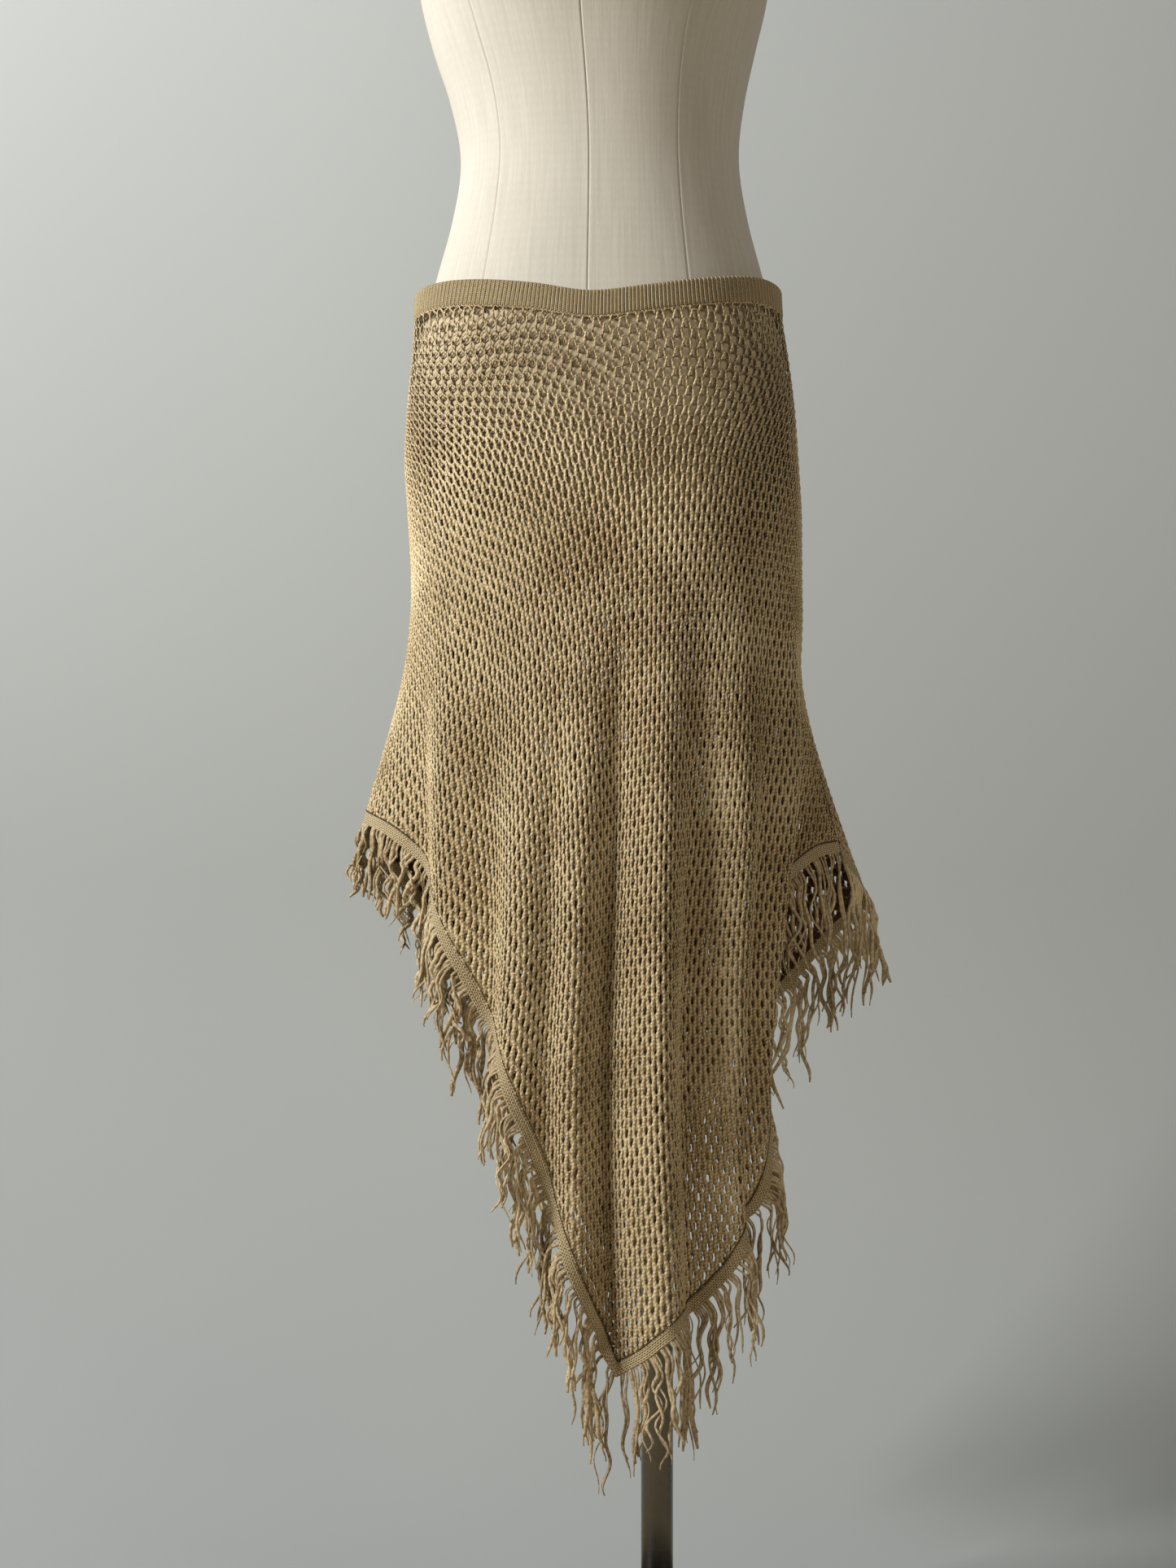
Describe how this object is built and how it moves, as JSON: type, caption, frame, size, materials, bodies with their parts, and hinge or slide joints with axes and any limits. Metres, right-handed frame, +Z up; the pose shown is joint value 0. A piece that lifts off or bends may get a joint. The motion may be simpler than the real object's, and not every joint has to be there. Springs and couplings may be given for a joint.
{
  "type": "fringed knit skirt on a dress form",
  "caption": "Open knit midi skirt with a ribbed waistband, pointed front and back hem and long fringe, worn by a limbless dress form on a pole stand.",
  "frame": {"origin": "on the floor, on the axis of the stand's pole, at the underside of its base plate", "axes": "+Z up, -Y the front of the skirt, +X to the right seen from the front"},
  "size_m": [0.4302, 0.33, 1.6403],
  "materials": {
    "knit_net": "open net knitted from matt viscose yarn",
    "knit_rib": "1 by 1 rib",
    "knit_border": "flat knitted tube",
    "fringe_yarn": "loose unspun ends of the yarn",
    "form_linen": "plain woven linen cover, pulled tight",
    "pole_steel": "polished",
    "plate_steel": "black powder coat",
    "cap_wood": "turned beech, oiled"
  },
  "bodies": {
    "root": {"waistband": "knit_rib", "front_panel": "knit_net", "back_panel": "knit_net", "hem_border_front": "knit_border", "hem_border_back": "knit_border", "fringe_front_left": "fringe_yarn", "fringe_front_right": "fringe_yarn", "fringe_back_right": "fringe_yarn", "fringe_back_left": "fringe_yarn", "form_torso": "form_linen", "neck_cap": "cap_wood", "form_flange": "plate_steel", "pole": "pole_steel", "pole_socket": "pole_steel", "base_plate": "plate_steel"}
  },
  "joints": []
}
